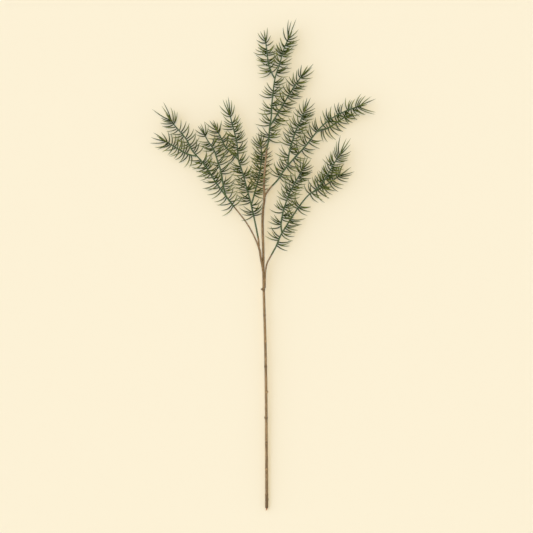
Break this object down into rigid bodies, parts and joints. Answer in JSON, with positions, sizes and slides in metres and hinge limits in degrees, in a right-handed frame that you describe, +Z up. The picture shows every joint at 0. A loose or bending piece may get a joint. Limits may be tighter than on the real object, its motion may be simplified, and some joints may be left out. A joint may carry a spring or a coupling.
{
  "type": "artificial cypress sprig",
  "caption": "Long faux cypress sprig lying flat: a bare brown stem that forks into feathery dark green needled shoots, with its core wire showing at the cut end.",
  "frame": {"origin": "middle of the underside of the whole sprig, on the surface that it lies on", "axes": "+Y from the cut end of the stem to the tips, +X to the sprig's right seen from above, +Z up from the surface"},
  "size_m": [0.462, 1.0042, 0.0366],
  "materials": {
    "bark_brown": "matte moulded bark, dull brown with a dusty pinkish upper part",
    "spray_green": "moulded plastic needles, dark olive green with a faint sheen, on blue-green stems",
    "wire_copper": "copper-coloured wire, freshly cut"
  },
  "bodies": {
    "root": {"main_stem": "bark_brown", "left_stalk": "bark_brown", "inner_left_stalk": "bark_brown", "inner_right_stalk": "bark_brown", "outer_right_stalk": "bark_brown", "core_wire": "wire_copper", "centre_leader": "spray_green", "centre_left": "spray_green", "centre_right": "spray_green", "outer_left_leader": "spray_green", "outer_left_upright": "spray_green", "outer_left_lower": "spray_green", "inner_left_leader": "spray_green", "inner_left_side": "spray_green", "inner_left_twig": "spray_green", "inner_right_leader": "spray_green", "inner_right_upright": "spray_green", "inner_right_lower": "spray_green", "outer_right_leader": "spray_green", "outer_right_upright": "spray_green", "outer_right_lower": "spray_green"}
  },
  "joints": []
}
